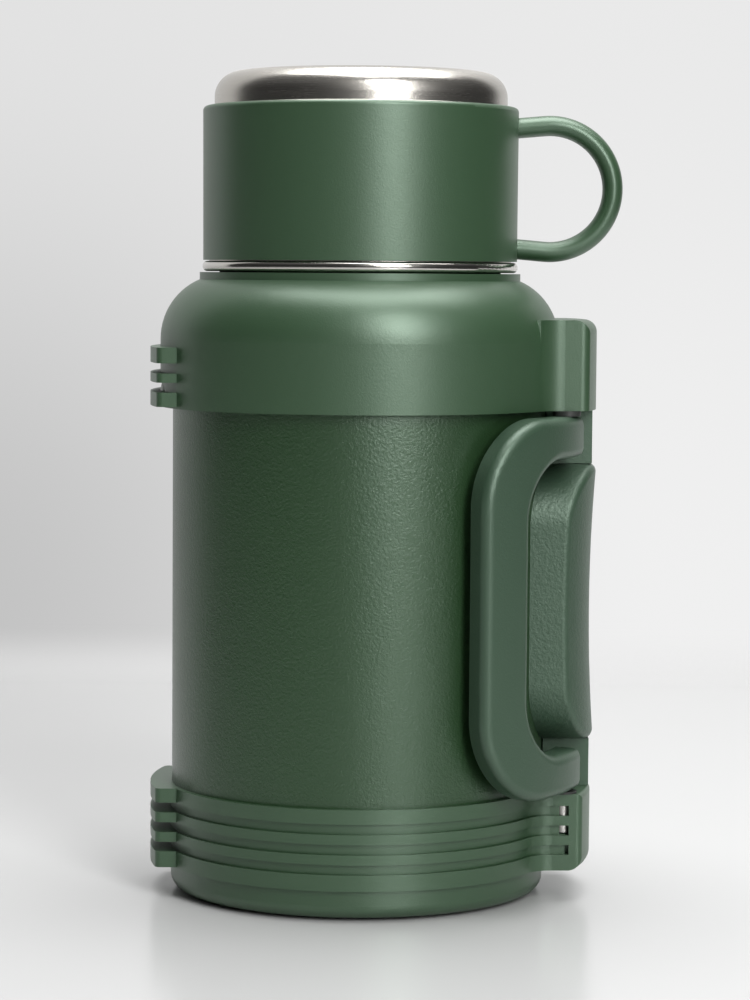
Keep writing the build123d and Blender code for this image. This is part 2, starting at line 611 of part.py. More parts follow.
with BuildPart() as wing_rear:
    add(wing_front.part)
    mirror(about=Plane.XZ, mode=Mode.REPLACE)

# ---------------------------------------------------------------- drinking cup
CUP_CEILING_Z = 259.0
CUP_LEDGE_R = 47.15
SLEEVE_IN_R = 48.55
with BuildPart() as cup_shell:
    with BuildSketch(Plane.XZ):
        with BuildLine():
            Line((0, CUP_TOP_Z), (CUP_BASE_R - 8.0, CUP_TOP_Z))
            CenterArc((CUP_BASE_R - 8.0, CUP_TOP_Z - 8.0), 8.0, 90, -90)
            Polyline(
                (CUP_BASE_R, CUP_TOP_Z - 8.0),
                (CUP_BASE_R, CUP_SLEEVE_TOP_Z + 0.2),
                (SLEEVE_IN_R - RUNNING, CUP_SLEEVE_TOP_Z - 1.6),
                (SLEEVE_IN_R - RUNNING, CUP_LIP_TOP_Z),
            )
            offset(amount=CUP_WALL, side=Side.RIGHT, kind=Kind.INTERSECTION)
        make_face()
    revolve(axis=Axis.Z)

with BuildPart() as cup_liner:
    with BuildSketch(Plane.XZ):
        with BuildLine():
            Line((0, CUP_CEILING_Z + CUP_WALL), (36.0, CUP_CEILING_Z + CUP_WALL))
            CenterArc((36.0, CUP_CEILING_Z + CUP_WALL - 9.0), 9.0, 90, -90)
            Polyline(
                (45.0, CUP_CEILING_Z + CUP_WALL - 9.0),
                (CUP_BORE_R + CUP_WALL, 238.0),
                (CUP_BORE_R + CUP_WALL, CUP_LIP_LOW_Z + 1.5),
            )
            offset(amount=CUP_WALL, side=Side.RIGHT, kind=Kind.INTERSECTION)
        make_face()
    revolve(axis=Axis.Z)
    # rolled drinking lip
    with BuildSketch(Plane.XZ):
        with Locations(((CUP_BORE_R + CUP_LIP_R) / 2, (CUP_LIP_LOW_Z + CUP_LIP_TOP_Z) / 2)):
            Rectangle(CUP_LIP_R - CUP_BORE_R, CUP_LIP_TOP_Z - CUP_LIP_LOW_Z)
    revolve(axis=Axis.Z)
    lip_circles = cup_liner.edges().filter_by(GeomType.CIRCLE)
    fillet(lip_circles.filter_by(lambda edge: abs(edge.radius - CUP_LIP_R) < 0.01), 1.5)
    inner_lip = cup_liner.edges().group_by(Axis.Z)[0].filter_by(lambda edge: edge.radius < CUP_BORE_R + 0.1)
    fillet(inner_lip, 1.4)

with BuildPart() as cup_sleeve:
    with BuildSketch(Plane.XZ):
        with BuildLine():
            Polyline(
                (SLEEVE_IN_R, CUP_SLEEVE_LOW_Z),
                (50.4, CUP_SLEEVE_LOW_Z),
                (50.55, CUP_SLEEVE_TOP_Z),
                (CUP_LEDGE_R, CUP_SLEEVE_TOP_Z),
                (SLEEVE_IN_R, CUP_SLEEVE_TOP_Z - 1.5),
                close=True,
            )
        make_face()
    revolve(axis=Axis.Z)
    rim_circles = cup_sleeve.edges().filter_by(GeomType.CIRCLE)
    fillet(rim_circles.filter_by(lambda edge: abs(edge.radius - 50.55) < 0.01), 1.4)
    # finger ring: most of a circle, its ends running on straight into the sleeve
    with BuildLine() as ring_path:
        ring_arc = CenterArc((0, 0), RING_R, 95, -190)
        upper_end = Line(ring_arc @ 0, (ring_arc @ 0) - (ring_arc % 0) * 9.2)
        lower_end = Line(ring_arc @ 1, (ring_arc @ 1) + (ring_arc % 1) * 9.2)
    ring_wire = Wire([upper_end, ring_arc, lower_end]).moved(
        Location(Plane(origin=(RING_X, 0, RING_Z), x_dir=(1, 0, 0), z_dir=(0, -1, 0)))
    )

    with BuildSketch(Plane(origin=ring_wire @ 0, x_dir=(0, 1, 0), z_dir=ring_wire % 0)):
        Ellipse(RING_WIDE / 2, RING_THICK / 2)
    sweep(path=ring_wire)

with BuildPart() as cup_seal:
    with BuildSketch(Plane.XZ):
        with BuildLine():
            Polyline(
                (SEAL_GROOVE_R + RUNNING, SEAL_LOW_Z + RUNNING),
                (45.6, SEAL_LOW_Z + RUNNING),
                (CUP_BORE_R - RUNNING, SEAL_LOW_Z + 0.7),
                (45.9, (SEAL_LOW_Z + SEAL_TOP_Z) / 2),
                (CUP_BORE_R - RUNNING, SEAL_TOP_Z - 0.7),
                (45.6, SEAL_TOP_Z - RUNNING),
                (SEAL_GROOVE_R + RUNNING, SEAL_TOP_Z - RUNNING),
                close=True,
            )
        make_face()
    revolve(axis=Axis.Z)

# ---------------------------------------------------------------- stopper with its pouring valve
SEAT_R = 7.0
GUIDE_LOW_Z = 199.0
with BuildPart() as stopper_body:
    with BuildSketch(Plane.XZ):
        with BuildLine():
            Polyline(
                (PLUG_R - 2.2, STOPPER_LOW_Z + 2),
                (PLUG_R, STOPPER_LOW_Z + 2),
                (PLUG_R, FLANGE_Z),
                (NECK_R + 0.3, FLANGE_Z),
                (NECK_R + 0.3, FLANGE_Z + 3.0),
                (NECK_R - 2.5, FLANGE_Z + 4.5),
                (NECK_R - 2.5, KNOB_TOP_Z - 3.0),
                (NECK_R - 5.0, KNOB_TOP_Z),
                (BUTTON_R + 0.1, KNOB_TOP_Z),
                (BUTTON_R + 0.1, WELL_Z),
                (STEM_R + RUNNING, WELL_Z),
                (STEM_R + RUNNING, GUIDE_LOW_Z),
                (STEM_R + 2.6, GUIDE_LOW_Z),
                (STEM_R + 2.6, WELL_Z - 5.0),
                (PLUG_R - 2.2, WELL_Z - 5.0),
                close=True,
            )
        make_face()
    revolve(axis=Axis.Z)
    # finger grooves around the knob
    with PolarLocations(NECK_R - 0.6, 24):
        with Locations((0, 0, (FLANGE_Z + 4.5 + KNOB_TOP_Z) / 2)):
            Cylinder(2.6, KNOB_TOP_Z - FLANGE_Z - 4.5 + 4.0, mode=Mode.SUBTRACT)

with BuildPart() as stopper_base:
    with BuildSketch(Plane.XZ):
        with BuildLine():
            Polyline(
                (SEAT_R, STOPPER_LOW_Z),
                (PLUG_R, STOPPER_LOW_Z),
                (PLUG_R, STOPPER_LOW_Z + 1.95),
                (PLUG_R - 2.25, STOPPER_LOW_Z + 1.95),
                (PLUG_R - 2.25, STOPPER_LOW_Z + 5.5),
                (PLUG_R - 4.0, STOPPER_LOW_Z + 5.5),
                (PLUG_R - 4.0, STOPPER_LOW_Z + 2.3),
                (SEAT_R + 2.5, STOPPER_LOW_Z + 2.3),
                (SEAT_R + 2.5, GUIDE_LOW_Z - 3.0),
                (SEAT_R, GUIDE_LOW_Z - 3.0),
                close=True,
            )
        make_face()
    revolve(axis=Axis.Z)

with BuildPart() as stopper_foam:
    with BuildSketch(Plane.XY.offset(STOPPER_LOW_Z + 5.8)):
        Circle(PLUG_R - 2.4)
        Circle(SEAT_R + 3.0, mode=Mode.SUBTRACT)
    extrude(amount=WELL_Z - 5.3 - STOPPER_LOW_Z - 5.8)

with BuildPart() as stopper_gasket:
    with BuildSketch(Plane.XY.offset(MOUTH_Z + RUNNING)):
        Circle(NECK_R - 0.2)
        Circle(PLUG_R + 0.2, mode=Mode.SUBTRACT)
    extrude(amount=FLANGE_Z - MOUTH_Z - 2 * RUNNING)
    fillet(stopper_gasket.edges(), 0.4)

with BuildPart() as push_button:
    with BuildSketch(Plane.XZ):
        with BuildLine():
            Polyline(
                (0, BUTTON_TOP_Z),
                (BUTTON_R, BUTTON_TOP_Z),
                (BUTTON_R, WELL_Z + BUTTON_TRAVEL + 0.3),
                (BUTTON_R - 1.6, WELL_Z + BUTTON_TRAVEL + 0.3),
                (BUTTON_R - 1.6, BUTTON_TOP_Z - 1.8),
                (0, BUTTON_TOP_Z - 1.8),
                close=True,
            )
        make_face()
    revolve(axis=Axis.Z)
    fillet(push_button.edges().group_by(Axis.Z)[-1], 1.0)

VALVE_LOW_Z = STOPPER_LOW_Z - 2.6
with BuildPart() as valve_stem:
    with BuildSketch(Plane.XZ):
        with BuildLine():
            Polyline(
                (0, BUTTON_TOP_Z - 1.8),
                (STEM_R, BUTTON_TOP_Z - 1.8),
                (STEM_R, VALVE_LOW_Z + 0.8),
                (STEM_R + 2.0, VALVE_LOW_Z + 0.8),
                (STEM_R + 2.0, VALVE_LOW_Z),
                (0, VALVE_LOW_Z),
                close=True,
            )
        make_face()
    revolve(axis=Axis.Z)

with BuildPart() as valve_seal:
    with BuildSketch(Plane.XZ):
        with BuildLine():
            Polyline(
                (STEM_R, VALVE_LOW_Z + 0.8),
                (SEAT_R + 1.5, VALVE_LOW_Z + 0.8),
                (SEAT_R + 2.5, STOPPER_LOW_Z - RUNNING),
                (STEM_R, STOPPER_LOW_Z - RUNNING),
                close=True,
            )
        make_face()
    revolve(axis=Axis.Z)

SPRING_R = 7.0
SPRING_WIRE_R = 0.5
SPRING_TURNS = 4.5
SPRING_LOW_Z = WELL_Z + SPRING_WIRE_R + 0.02
SPRING_HIGH_Z = BUTTON_TOP_Z - 1.8 - SPRING_WIRE_R - 0.02
with BuildPart() as valve_spring:
    with BuildLine() as coil:
        Helix(
            pitch=(SPRING_HIGH_Z - SPRING_LOW_Z) / SPRING_TURNS,
            height=SPRING_HIGH_Z - SPRING_LOW_Z,
            radius=SPRING_R,
            center=(0, 0, SPRING_LOW_Z),
        )
    with BuildSketch(Plane(origin=coil.line @ 0, z_dir=coil.line % 0)):
        Circle(SPRING_WIRE_R)
    sweep(path=coil.line)

# ---------------------------------------------------------------- write every piece
PIECES = [
    ("outer_shell", outer_shell, GREEN),
    ("shell_base", shell_base, STEEL),
    ("vacuum_plug", vacuum_plug, STEEL),
    ("inner_liner", inner_liner, STEEL),
    ("heat_shield", heat_shield, COPPER),
    ("getter", getter, STEEL),
    ("collar", collar, GREEN),
    ("collar_gasket", collar_gasket, RUBBER),
    ("neck_sleeve", neck_sleeve, DARK),
    ("base_boot", base_boot, GREEN),
    ("foot_pad", foot_pad, RUBBER),
    ("spine", spine, GREEN),
    ("grip_pad", grip_pad, GREEN),
    ("pad_screws", pad_screws, STEEL),
    ("pad_plugs", pad_plugs, GREEN),
    ("lug_screws", lug_screws, STEEL),
    ("hinge_pins", hinge_pins, STEEL),
    ("hinge_washers", hinge_washers, DARK),
    ("wing_front", wing_front, GREEN),
    ("wing_rear", wing_rear, GREEN),
    ("cup_shell", cup_shell, STEEL),
    ("cup_liner", cup_liner, STEEL),
    ("cup_sleeve", cup_sleeve, GREEN),
    ("cup_seal", cup_seal, WHITE),
    ("stopper_body", stopper_body, GREEN),
    ("stopper_base", stopper_base, DARK),
    ("stopper_foam", stopper_foam, WHITE),
    ("stopper_gasket", stopper_gasket, WHITE),
    ("push_button", push_button, GREEN),
    ("valve_stem", valve_stem, STEEL),
    ("valve_seal", valve_seal, WHITE),
    ("valve_spring", valve_spring, STEEL),
]
for piece_name, builder, piece_color in PIECES:
    finish(builder.part, piece_name, piece_color)
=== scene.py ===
"""Looks for the insulated flask: materials, finely shaped handle wings, light, floor and camera.

Everything is in metres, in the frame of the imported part: +Z up, the handle on +X, the front on -Y.
"""
import math

import bmesh
import bpy
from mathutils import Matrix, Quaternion, Vector


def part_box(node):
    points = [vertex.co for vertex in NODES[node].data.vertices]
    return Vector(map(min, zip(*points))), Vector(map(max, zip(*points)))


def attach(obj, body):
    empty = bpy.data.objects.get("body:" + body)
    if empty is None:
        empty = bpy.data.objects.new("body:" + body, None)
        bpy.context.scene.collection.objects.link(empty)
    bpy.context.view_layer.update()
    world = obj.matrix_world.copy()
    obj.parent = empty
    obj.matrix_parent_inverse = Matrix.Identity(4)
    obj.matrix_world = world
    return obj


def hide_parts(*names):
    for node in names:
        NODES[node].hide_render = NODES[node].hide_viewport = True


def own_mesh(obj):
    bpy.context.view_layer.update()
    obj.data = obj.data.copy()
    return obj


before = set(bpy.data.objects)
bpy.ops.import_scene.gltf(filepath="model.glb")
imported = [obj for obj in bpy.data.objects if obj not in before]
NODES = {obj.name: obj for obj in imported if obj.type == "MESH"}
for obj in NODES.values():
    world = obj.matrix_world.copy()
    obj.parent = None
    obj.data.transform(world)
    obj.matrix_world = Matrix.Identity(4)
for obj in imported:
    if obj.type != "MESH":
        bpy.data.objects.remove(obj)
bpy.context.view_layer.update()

MM = 0.001


# ---------------------------------------------------------------- node helpers
class Shader:
    """A material's node tree with short calls for adding and joining nodes."""

    def __init__(self, name):
        self.material = bpy.data.materials.new(name)
        self.material.use_nodes = True
        self.tree = self.material.node_tree
        self.bsdf = self.tree.nodes["Principled BSDF"]

    def node(self, kind, **settings):
        made = self.tree.nodes.new(kind)
        for key, value in settings.items():
            setattr(made, key, value)
        return made

    def put(self, source, socket):
        """Sets a socket to a number, a tuple or another node's output."""
        if isinstance(source, (int, float, tuple)):
            socket.default_value = source
        else:
            self.tree.links.new(source, socket)

    def math(self, operation, a, b=0.0):
        made = self.node("ShaderNodeMath", operation=operation)
        for socket, value in zip(made.inputs, (a, b)):
            self.put(value, socket)
        return made.outputs[0]

    def place(self):
        return self.node("ShaderNodeTexCoord").outputs["Object"]

    def noise(self, vector, scale, detail=2.0, roughness=0.5):
        made = self.node("ShaderNodeTexNoise")
        self.put(vector, made.inputs["Vector"])
        made.inputs["Scale"].default_value = scale
        made.inputs["Detail"].default_value = detail
        made.inputs["Roughness"].default_value = roughness
        return made.outputs["Fac"]

    def cells(self, vector, scale):
        made = self.node("ShaderNodeTexVoronoi", feature="SMOOTH_F1")
        self.put(vector, made.inputs["Vector"])
        made.inputs["Scale"].default_value = scale
        return made.outputs["Distance"]

    def spread(self, value, low, high):
        """Maps a 0 to 1 value onto low to high."""
        made = self.node("ShaderNodeMapRange")
        self.put(value, made.inputs["Value"])
        made.inputs["To Min"].default_value = low
        made.inputs["To Max"].default_value = high
        return made.outputs["Result"]

    def ramp(self, value, low, high):
        """Rises smoothly from 0 to 1 as the value goes from low to high."""
        made = self.node("ShaderNodeMapRange", interpolation_type="SMOOTHSTEP")
        self.put(value, made.inputs["Value"])
        made.inputs["From Min"].default_value = low
        made.inputs["From Max"].default_value = high
        return made.outputs["Result"]

    def mix(self, factor, a, b):
        made = self.node("ShaderNodeMix", data_type="RGBA")
        self.put(factor, made.inputs["Factor"])
        self.put(a, made.inputs["A"])
        self.put(b, made.inputs["B"])
        return made.outputs["Result"]

    def bump(self, height, distance):
        made = self.node("ShaderNodeBump")
        self.put(height, made.inputs["Height"])
        made.inputs["Distance"].default_value = distance
        made.inputs["Strength"].default_value = 1.0
        return made.outputs["Normal"]

    def finish(self, **inputs):
        for key, value in inputs.items():
            self.put(value, self.bsdf.inputs[key.replace("_", " ")])
        return self.material


def rgb(red, green, blue):
    """An opaque colour."""
    return (red, green, blue, 1.0)


def scaled(color, share):
    """The same hue, lighter or darker."""
    return tuple(channel * share for channel in color[:3]) + (1.0,)


WHITE_TINT = rgb(1.0, 1.0, 1.0)
GREEN_TINT = rgb(0.80, 1.0, 0.84)

CLOUD_SCALE = 28.0        # slow drift of tone over a moulded piece
PIT_SPACING = 0.55        # the pits are coarser than the grain by this share
PIT_SHARE = 0.6           # the pits' part in the relief
GLINT_SHARE = 0.35      # how much of the painted glint, a lighter tone, shows on the grain
# the painted glint's colour is lighter than the body by this share
GLINT_LIFT = 1.35
GRAIN_SHARE = 0.6         # the grain's part in the uneven gloss, the drift has the rest


def moulded(name, color, shade, grain_scale, grain_depth, rough=(0.46, 0.58), shine=0.5, tint=WHITE_TINT):
    """Plastic or powder coat: a coloured body, a fine surface grain with painted glints on it and
    slightly uneven gloss.
    """
    s = Shader(name)
    place = s.place()
    cloudy = s.noise(place, CLOUD_SCALE, 3.0)
    fine = s.noise(place, grain_scale, 4.0, 0.62)
    pits = s.cells(place, grain_scale * PIT_SPACING)
    height = s.math("ADD", fine, s.math("MULTIPLY", pits, PIT_SHARE))
    tone = s.mix(s.spread(cloudy, 0.2, 0.8), color, shade)
    # painted glints: the raised grain is coloured lighter, as if it caught the light
    painted_glint = s.mix(s.spread(fine, 0.0, GLINT_SHARE), tone, scaled(color, GLINT_LIFT))
    grain_gloss = s.math("MULTIPLY", fine, GRAIN_SHARE)
    drift_gloss = s.math("MULTIPLY", cloudy, 1.0 - GRAIN_SHARE)
    roughness = s.spread(s.math("ADD", grain_gloss, drift_gloss), *rough)
    return s.finish(
        Base_Color=painted_glint,
        Roughness=roughness,
        Normal=s.bump(height, grain_depth),
        Specular_IOR_Level=shine,
        Specular_Tint=tint,
    )


TURN_STRETCH = 1.2        # the lathe lines are this short round the axis
LINE_SHARE = 0.7          # the lines' part in the uneven gloss, smudges have the rest
LINE_SHADE = 0.86


def turned_steel(name, color, rough, line_scale, line_depth, anisotropic):
    """Steel brushed or polished on a lathe: fine rings around Z."""
    s = Shader(name)
    place = s.place()
    parts = s.node("ShaderNodeSeparateXYZ")
    s.put(place, parts.inputs[0])
    x, y, z = parts.outputs
    radius = s.math("SQRT", s.math("ADD", s.math("MULTIPLY", x, x), s.math("MULTIPLY", y, y)))
    turn = s.math("ARCTAN2", y, x)
    around = s.node("ShaderNodeCombineXYZ")
    s.put(s.math("MULTIPLY", radius, line_scale), around.inputs[0])
    s.put(s.math("MULTIPLY", z, line_scale), around.inputs[1])
    s.put(s.math("MULTIPLY", turn, TURN_STRETCH), around.inputs[2])
    lines = s.noise(around.outputs[0], 1.0, 3.0, 0.7)
    tangent = s.node("ShaderNodeTangent", direction_type="RADIAL", axis="Z")
    smudge = s.noise(place, 35.0, 2.0)
    tone = s.mix(s.spread(lines, 0.0, 1.0), scaled(color, LINE_SHADE), color)
    line_gloss = s.math("MULTIPLY", lines, LINE_SHARE)
    smudge_gloss = s.math("MULTIPLY", smudge, 1.0 - LINE_SHARE)
    return s.finish(
        Base_Color=tone,
        Metallic=1.0,
        Roughness=s.spread(s.math("ADD", line_gloss, smudge_gloss), *rough),
        Anisotropic=anisotropic,
        Tangent=tangent.outputs[0],
        Normal=s.bump(lines, line_depth),
    )


DUST_SCALE = 900.0
DUST_DEPTH = 0.00003


def rubbery(name, color, rough, through=0.0):
    """Soft rubber or silicone with a dusty surface; light goes into it as far as through says."""
    s = Shader(name)
    place = s.place()
    dust = s.noise(place, DUST_SCALE, 3.0)
    wide = s.noise(place, 60.0, 2.0)
    return s.finish(
        Base_Color=s.mix(s.spread(wide, 0.0, 0.5), color, scaled(color, 0.8)),
        Roughness=s.spread(dust, *rough),
        Subsurface_Weight=through,
        Normal=s.bump(dust, DUST_DEPTH),
    )


POWDER = moulded(
    "powder_coat", rgb(0.014, 0.038, 0.013), rgb(0.012, 0.034, 0.011),
    grain_scale=1900.0, grain_depth=0.00010, rough=(0.27, 0.34), shine=1.0, tint=GREEN_TINT,
)
COLLAR = moulded(
    "collar_plastic", rgb(0.025, 0.056, 0.026), rgb(0.022, 0.051, 0.023),
    grain_scale=3200.0, grain_depth=0.00003, rough=(0.36, 0.43), shine=1.15, tint=GREEN_TINT,
)
HANDLE = moulded(
    "handle_plastic", rgb(0.028, 0.055, 0.033), rgb(0.025, 0.050, 0.030),
    grain_scale=2400.0, grain_depth=0.00006, rough=(0.38, 0.45), shine=0.9, tint=GREEN_TINT,
)
PAD = moulded(
    "pad_plastic", rgb(0.028, 0.055, 0.033), rgb(0.025, 0.050, 0.030),
    grain_scale=1500.0, grain_depth=0.00013, rough=(0.40, 0.48), shine=0.9, tint=GREEN_TINT,
)
BLACK = moulded("dark_plastic", rgb(0.020, 0.022, 0.020), rgb(0.016, 0.018, 0.016), 2600.0, 0.00003)
FOAM = moulded("foam", rgb(0.80, 0.79, 0.72), rgb(0.72, 0.70, 0.64), 700.0, 0.0003, (0.8, 0.95))
BRUSHED = turned_steel("brushed_steel", rgb(0.60, 0.575, 0.53), (0.20, 0.32), 9000.0, 0.00001, 0.5)
POLISHED = turned_steel("polished_steel", rgb(0.66, 0.64, 0.60), (0.10, 0.20), 6000.0, 0.000004, 0.5)
SATIN = turned_steel("satin_steel", rgb(0.58, 0.57, 0.54), (0.26, 0.40), 7000.0, 0.00001, 0.4)
FOIL = turned_steel("copper_foil", rgb(0.78, 0.42, 0.26), (0.15, 0.30), 2500.0, 0.00003, 0.2)
SILICONE = rubbery("silicone", rgb(0.62, 0.64, 0.60), (0.35, 0.5), 0.15)
RUBBER = rubbery("rubber", rgb(0.018, 0.020, 0.018), (0.6, 0.8))

FINISHES = {
    "outer_shell": POWDER,
    "shell_base": SATIN,
    "vacuum_plug": SATIN,
    "inner_liner": SATIN,
    "heat_shield": FOIL,
    "getter": SATIN,
    "collar": COLLAR,
    "collar_gasket": RUBBER,
    "neck_sleeve": BLACK,
    "base_boot": COLLAR,
    "foot_pad": RUBBER,
    "spine": HANDLE,
    "grip_pad": PAD,
    "pad_screws": SATIN,
    "pad_plugs": HANDLE,
    "lug_screws": SATIN,
    "hinge_pins": SATIN,
    "hinge_washers": BLACK,
    "wing_front": HANDLE,
    "wing_rear": HANDLE,
    "cup_shell": BRUSHED,
    "cup_liner": POLISHED,
    "cup_sleeve": COLLAR,
    "cup_seal": SILICONE,
    "stopper_body": COLLAR,
    "stopper_base": BLACK,
    "stopper_foam": FOAM,
    "stopper_gasket": SILICONE,
    "push_button": BLACK,
    "valve_stem": SATIN,
    "valve_seal": SILICONE,
    "valve_spring": SATIN,
}


def paint(piece, material):
    piece.data.materials.clear()
    piece.data.materials.append(material)


for node_name, material in FINISHES.items():
    paint(NODES[node_name], material)

# ---------------------------------------------------------------- handle wings
WING_OUT_R = 73.7 * MM
WING_THICK = 9.0 * MM
WING_TIP = math.radians(58.1)
WING_END = math.radians(13.6)
GRIP_IN = math.radians(43.2)
WING_ARM = 13.1 * MM
WING_CORNER = 27.0 * MM
OPENING_CORNER = 19.0 * MM
OUTLINE_TURN = math.radians(42.0)     # the outline is drawn on a plane facing this way
OUTER_ROUND = 3.2 * MM
END_ROUND = 1.3 * MM
INNER_ROUND = 1.2 * MM
TIP_STEPS = 20
BEVEL_STEPS = 7
TINY = 1e-6
STRIPS = 30               # the flat plate is cut into this many before it is wrapped round
SHARP_CORNER = 1.0        # a corner of the outline turns at least this far, in radians


def across(angle):
    """Distance across the outline plane of the point at this angle on the wing's outer face."""
    return WING_OUT_R * math.sin(OUTLINE_TURN - angle)


def corner(centre, radius, start, end, steps=14):
    """Points on a round corner, start and end in degrees."""
    points = []
    for i in range(steps + 1):
        angle = math.radians(start + (end - start) * i / steps)
        points.append((centre[0] + radius * math.cos(angle), centre[1] + radius * math.sin(angle)))
    return points


def wing_outline(low, high):
    """The C shape as (across, up) points in order round its edge."""
    tip, grip, end = across(WING_TIP), across(GRIP_IN), across(WING_END)
    r, q = WING_CORNER, OPENING_CORNER
    open_low, open_high = low + WING_ARM, high - WING_ARM
    points = [(end, low), (end, open_low)]
    points += corner((grip + q, open_low + q), q, 270, 180)
    points += corner((grip + q, open_high - q), q, 180, 90)
    points += [(end, open_high), (end, high)]
    points += corner((tip + r, high - r), r, 90, 180, TIP_STEPS)
    points += corner((tip + r, low + r), r, 180, 270, TIP_STEPS)
    return points


def flat_plate(outline, thick):
    """A plate with its outer face at height 0 and its inner face at -thick."""
    bm = bmesh.new()
    outer = [bm.verts.new((u, v, 0.0)) for u, v in outline]
    inner = [bm.verts.new((u, v, -thick)) for u, v in outline]
    bm.faces.new(outer)
    bm.faces.new(list(reversed(inner)))
    for i in range(len(outline)):
        j = (i + 1) % len(outline)
        bm.faces.new((outer[j], outer[i], inner[i], inner[j]))
    bmesh.ops.recalc_face_normals(bm, faces=bm.faces)
    return bm


def round_plate(bm, end_u, name):
    """Rounds the plate's edges with the bevel tool, more on the outer face than on the inner one."""
    weights = bm.edges.layers.float.new("bevel_weight_edge")
    for edge in bm.edges:
        a, b = (v.co for v in edge.verts)
        upright = abs(a.z - b.z) > TINY
        at_end = min(a.x, b.x) > end_u - TINY
        if upright:
            if edge.calc_face_angle() > SHARP_CORNER:
                edge[weights] = END_ROUND / OUTER_ROUND
        elif at_end:
            edge[weights] = END_ROUND / OUTER_ROUND
        elif a.z > -TINY:
            edge[weights] = 1.0
        else:
            edge[weights] = INNER_ROUND / OUTER_ROUND
    mesh = bpy.data.meshes.new(name)
    bm.to_mesh(mesh)
    bm.free()
    piece = bpy.data.objects.new(name, mesh)
    bpy.context.scene.collection.objects.link(piece)
    bevel = piece.modifiers.new("round", "BEVEL")
    bevel.width = OUTER_ROUND
    bevel.segments = BEVEL_STEPS
    bevel.limit_method = "WEIGHT"
    bevel.miter_outer = "MITER_SHARP"
    bake_modifiers(piece)
    return piece


def bake_modifiers(piece):
    graph = bpy.context.evaluated_depsgraph_get()
    mesh = bpy.data.meshes.new_from_object(piece.evaluated_get(graph))
    piece.modifiers.clear()
    old = piece.data
    piece.data = mesh
    bpy.data.meshes.remove(old)


def wrap_plate(piece, mirrored):
    """Cuts the flat plate into narrow strips and wraps it round the body."""
    bm = bmesh.new()
    bm.from_mesh(piece.data)
    bmesh.ops.triangulate(bm, faces=[f for f in bm.faces if len(f.verts) > 4])
    low = min(v.co.x for v in bm.verts)
    high = max(v.co.x for v in bm.verts)
    for i in range(1, STRIPS):
        cut = low + (high - low) * i / STRIPS
        everything = bm.verts[:] + bm.edges[:] + bm.faces[:]
        bmesh.ops.bisect_plane(bm, geom=everything, plane_co=(cut, 0, 0), plane_no=(1, 0, 0), dist=1e-7)
    side = 1.0 if mirrored else -1.0
    for vert in bm.verts:
        angle = OUTLINE_TURN - math.asin(max(-1.0, min(1.0, vert.co.x / WING_OUT_R)))
        radius = WING_OUT_R + vert.co.z
        vert.co = Vector((radius * math.cos(angle), side * radius * math.sin(angle), vert.co.y))
    bmesh.ops.recalc_face_normals(bm, faces=bm.faces)
    for face in bm.faces:
        face.smooth = True
    bm.to_mesh(piece.data)
    bm.free()
    weighted = piece.modifiers.new("normals", "WEIGHTED_NORMAL")
    weighted.keep_sharp = True


for node_name, mirrored in (("wing_front", False), ("wing_rear", True)):
    low_z, high_z = (corner_point.z for corner_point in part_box(node_name))
    outline = wing_outline(low_z, high_z)
    end_u = across(WING_END)
    wing = round_plate(flat_plate(outline, WING_THICK), end_u, node_name.replace("wing", "handle"))
    wrap_plate(wing, mirrored)
    paint(wing, HANDLE)
    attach(wing, node_name)
    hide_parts(node_name)

cad_coil = NODES["valve_spring"]
coil = bpy.data.objects.new("pouring_spring", cad_coil.data.copy())
bpy.context.scene.collection.objects.link(coil)
coil.matrix_world = cad_coil.matrix_world.copy()
paint(coil, SATIN)
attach(coil, "stopper")
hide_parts("valve_spring")
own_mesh(coil)

# ---------------------------------------------------------------- floor, backdrop, light, camera
TABLE_END = 0.50          # the table runs this far behind the flask, then up into the backdrop
BEND = 0.14
GLOW_TOP = 0.02           # the backdrop's painted glow has taken over at this height
BACKDROP_TOP = 3.0
STAGE_LEFT, STAGE_RIGHT = -1.7, 0.75
TABLE_FRONT = -3.0
BEND_STEPS = 16
TABLE_TONES = rgb(0.52, 0.52, 0.52), rgb(0.50, 0.50, 0.50)
# painted light on the backdrop: a glow that is dimmer on the left and low down, brighter to the right
LEFT_GLOW = 0.54, 0.76    # brightness low down and high up
RIGHT_GLOW = 0.87, 0.82
GLOW_ACROSS = -0.22, 0.16  # where the left side's glow ends and the right side's starts
GLOW_UP = 0.02, 0.34


def stage_material():
    """Glossy pale table whose upright part has its light painted on as a soft glow, dimmer at the lower
    left.
    """
    s = Shader("stage_white")
    place = s.place()
    cloud = s.noise(place, 3.0, 2.0)
    s.put(s.mix(cloud, *TABLE_TONES), s.bsdf.inputs["Base Color"])
    s.bsdf.inputs["Roughness"].default_value = 0.22
    s.bsdf.inputs["Specular IOR Level"].default_value = 0.4
    parts = s.node("ShaderNodeSeparateXYZ")
    s.put(place, parts.inputs[0])
    x, _, z = parts.outputs
    sideways = s.ramp(x, *GLOW_ACROSS)
    upwards = s.ramp(z, *GLOW_UP)
    left = s.spread(upwards, *LEFT_GLOW)
    right = s.spread(upwards, *RIGHT_GLOW)
    left_part = s.math("MULTIPLY", left, s.math("SUBTRACT", 1.0, sideways))
    right_part = s.math("MULTIPLY", right, sideways)
    level = s.math("ADD", left_part, right_part)
    # the painted glow stands in for the studio light falling on the backdrop
    glow = s.node("ShaderNodeEmission")
    s.put(level, glow.inputs["Strength"])
    blend = s.node("ShaderNodeMixShader")
    s.put(s.ramp(z, 0.0, GLOW_TOP), blend.inputs[0])
    s.put(s.bsdf.outputs[0], blend.inputs[1])
    s.put(glow.outputs[0], blend.inputs[2])
    s.put(blend.outputs[0], s.tree.nodes["Material Output"].inputs["Surface"])
    return s.material


